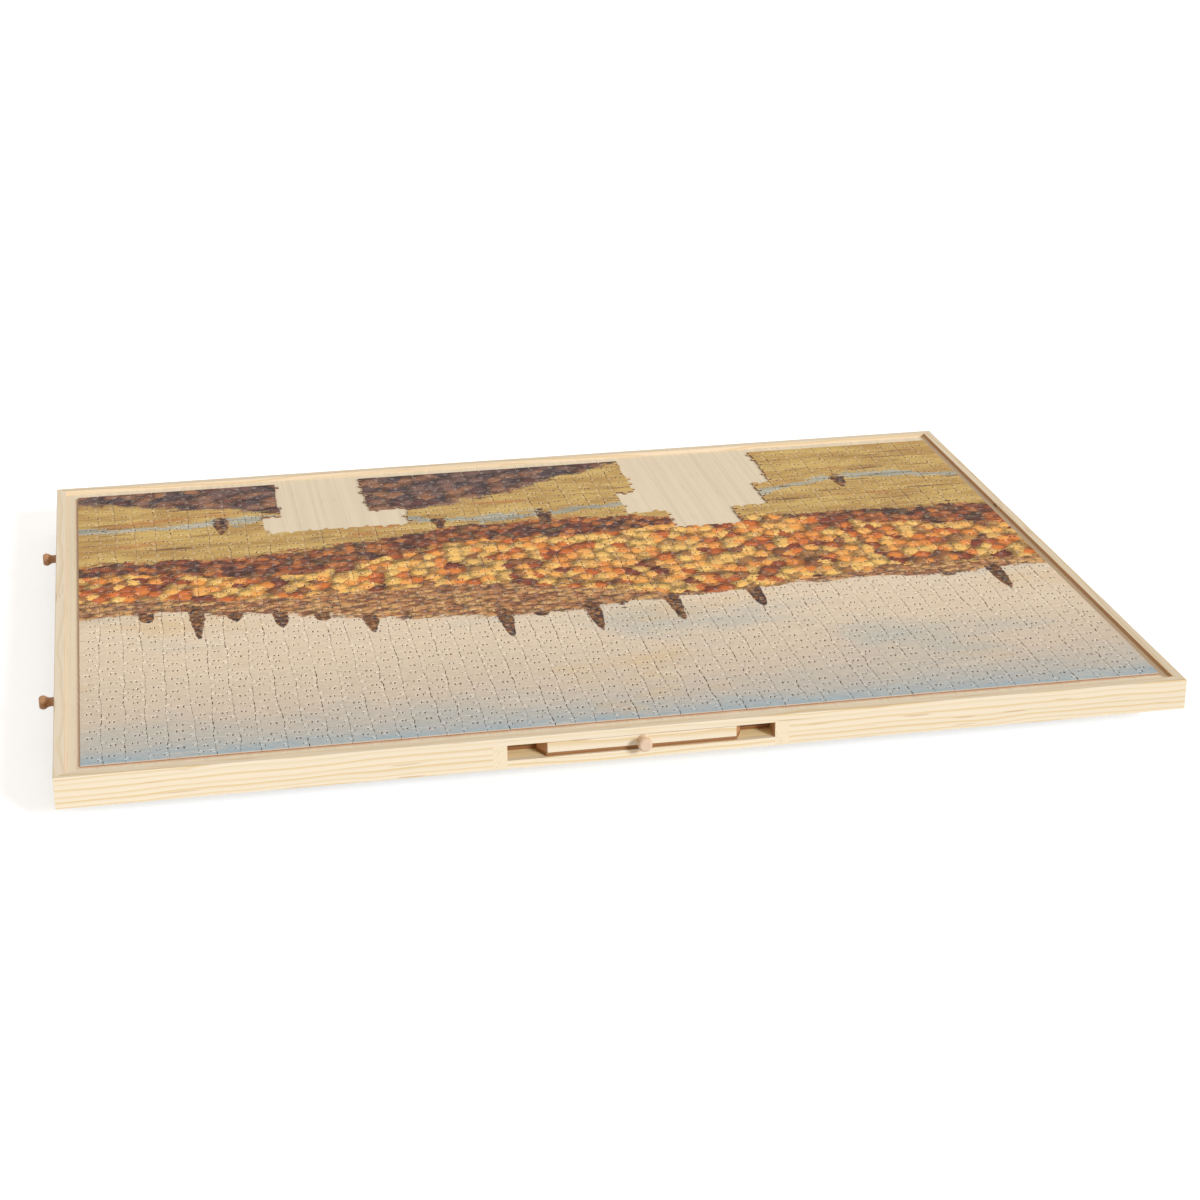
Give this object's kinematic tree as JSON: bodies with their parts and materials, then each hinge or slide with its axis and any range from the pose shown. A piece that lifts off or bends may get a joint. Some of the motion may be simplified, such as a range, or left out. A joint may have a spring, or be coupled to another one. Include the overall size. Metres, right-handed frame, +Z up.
{
  "type": "rotating puzzle board",
  "caption": "Shallow pine puzzle tray with a plywood work panel, sliding drawers under it and a ball bearing turntable on a round foot.",
  "frame": {"origin": "on the table, under the vertical axis that the tray turns about", "axes": "+Z up; +X along the long side of the tray, with the side drawers at -X; the front drawer opens towards -Y"},
  "size_m": [1.014, 0.759, 0.0506],
  "materials": {
    "pine": "planed, clear",
    "plywood": "sanded, clear",
    "knob_wood": "turned, clear",
    "puzzle_board": "printed card, satin",
    "plate_steel": "zinc plated",
    "screw_steel": "zinc plated",
    "ball_steel": "polished",
    "foot_rubber": "matte"
  },
  "bodies": {
    "turntable_base": {"base_disc": "plywood", "base_feet": "foot_rubber", "foot_screws": "screw_steel", "centre_foot": "foot_rubber", "bearing_lower_plate": "plate_steel", "lower_plate_screws": "screw_steel"},
    "ball_ring": {"ball_cage": "plate_steel", "bearing_balls": "ball_steel"},
    "tray": {"bearing_upper_plate": "plate_steel", "upper_plate_screws": "screw_steel", "bearing_pad": "plywood", "frame_front": "pine", "frame_back": "pine", "frame_left": "pine", "frame_right": "pine", "front_sill": "pine", "guide_rail_left": "pine", "guide_rail_right": "pine", "bottom_left": "plywood", "bottom_middle": "plywood", "bottom_right": "plywood", "guide_front_outer": "pine", "guide_front_inner": "pine", "guide_back_inner": "pine", "guide_back_outer": "pine", "stiffener_front": "pine", "stiffener_back": "pine", "left_front_stop": "pine", "left_back_stop": "pine", "front_stop": "pine", "work_panel": "plywood", "jigsaw_puzzle": "puzzle_board"},
    "front_drawer": {"front_drawer_face": "pine", "front_drawer_wall": "pine", "front_drawer_side_left": "pine", "front_drawer_side_right": "pine", "front_drawer_back": "pine", "front_drawer_bottom": "plywood", "front_drawer_knob": "knob_wood", "front_drawer_knob_screw": "screw_steel"},
    "left_front_drawer": {"left_front_drawer_face": "pine", "left_front_drawer_wall": "pine", "left_front_drawer_side_left": "pine", "left_front_drawer_side_right": "pine", "left_front_drawer_back": "pine", "left_front_drawer_bottom": "plywood", "left_front_drawer_knob": "knob_wood", "left_front_drawer_knob_screw": "screw_steel"},
    "left_back_drawer": {"left_back_drawer_face": "pine", "left_back_drawer_wall": "pine", "left_back_drawer_side_left": "pine", "left_back_drawer_side_right": "pine", "left_back_drawer_back": "pine", "left_back_drawer_bottom": "plywood", "left_back_drawer_knob": "knob_wood", "left_back_drawer_knob_screw": "screw_steel"}
  },
  "joints": [
    {"name": "turntable_spin", "type": "hinge", "parent": "turntable_base", "child": "tray", "pos_m": [0, 0, 0.018], "axis": [0, 0, 1], "continuous": true},
    {"name": "ball_ring_spin", "type": "hinge", "parent": "turntable_base", "child": "ball_ring", "pos_m": [0, 0, 0.018], "axis": [0, 0, 1], "continuous": true},
    {"name": "front_drawer_slide", "type": "slide", "parent": "tray", "child": "front_drawer", "axis": [0, -1, 0], "range_m": [0, 0.22]},
    {"name": "left_front_drawer_slide", "type": "slide", "parent": "tray", "child": "left_front_drawer", "axis": [-1, 0, 0], "range_m": [0, 0.25]},
    {"name": "left_back_drawer_slide", "type": "slide", "parent": "tray", "child": "left_back_drawer", "axis": [-1, 0, 0], "range_m": [0, 0.25]}
  ],
  "couplings": [
    {"joint": "ball_ring_spin", "follows": "turntable_spin", "ratio": 0.5}
  ]
}
